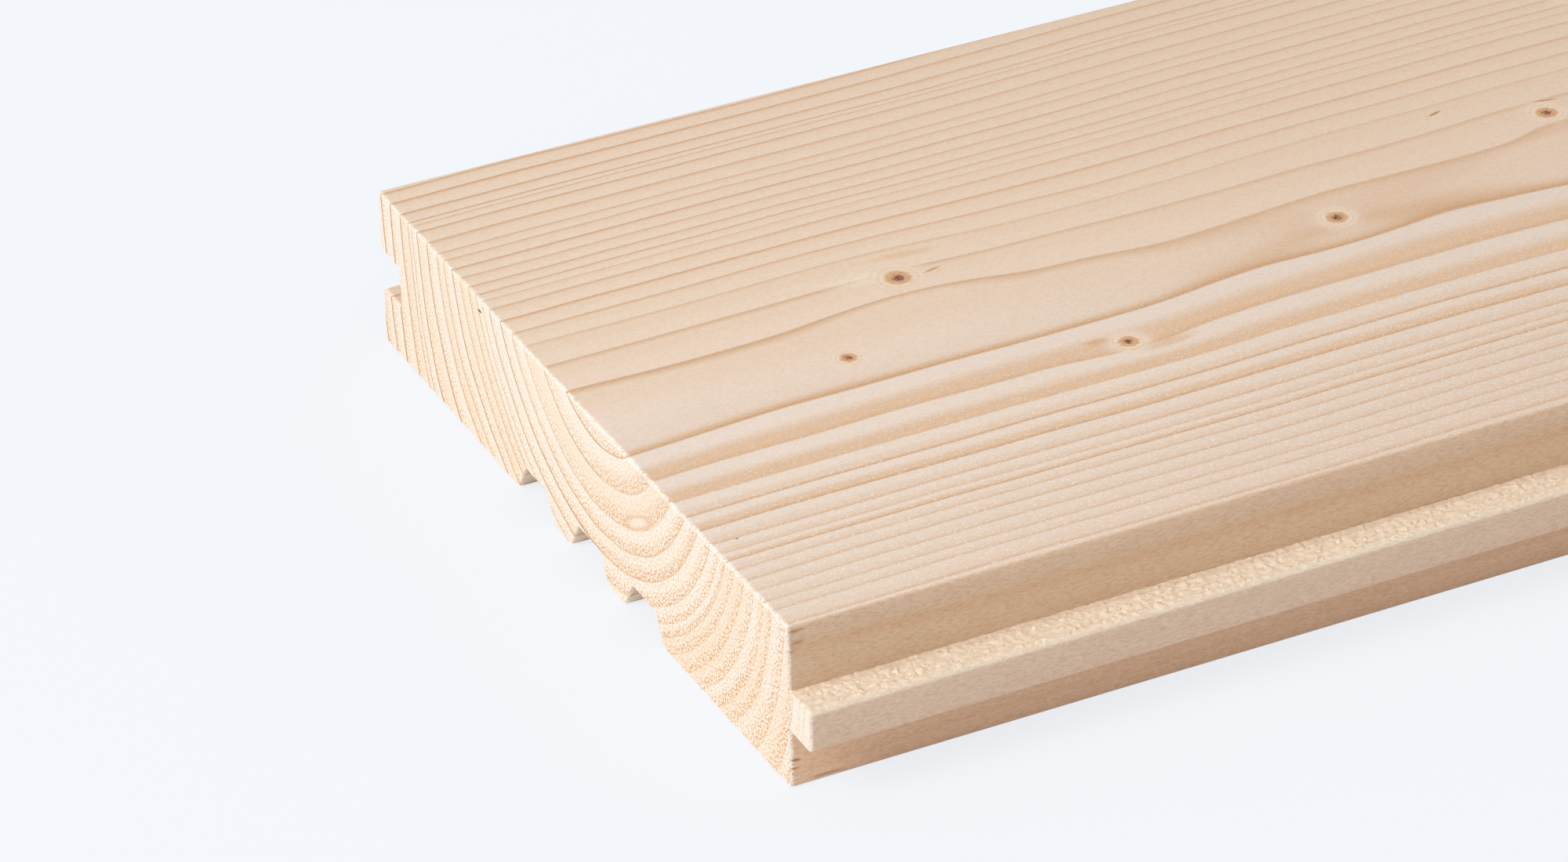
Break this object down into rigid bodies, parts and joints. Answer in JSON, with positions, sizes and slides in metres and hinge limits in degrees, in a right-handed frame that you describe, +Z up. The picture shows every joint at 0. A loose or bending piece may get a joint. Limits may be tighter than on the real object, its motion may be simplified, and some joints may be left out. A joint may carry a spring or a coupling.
{
  "type": "spruce floorboard",
  "caption": "Solid softwood floorboard with a tongue on one long edge, a matching groove on the other and relief channels along the underside.",
  "frame": {"origin": "middle of the board's length and overall width, on the underside", "axes": "+X along the length, +Y from the tongue edge to the groove edge, +Z up out of the walking face"},
  "size_m": [2, 0.1442, 0.026],
  "materials": {
    "spruce": "planed, untreated"
  },
  "bodies": {
    "root": {"floorboard": "spruce"}
  },
  "joints": []
}
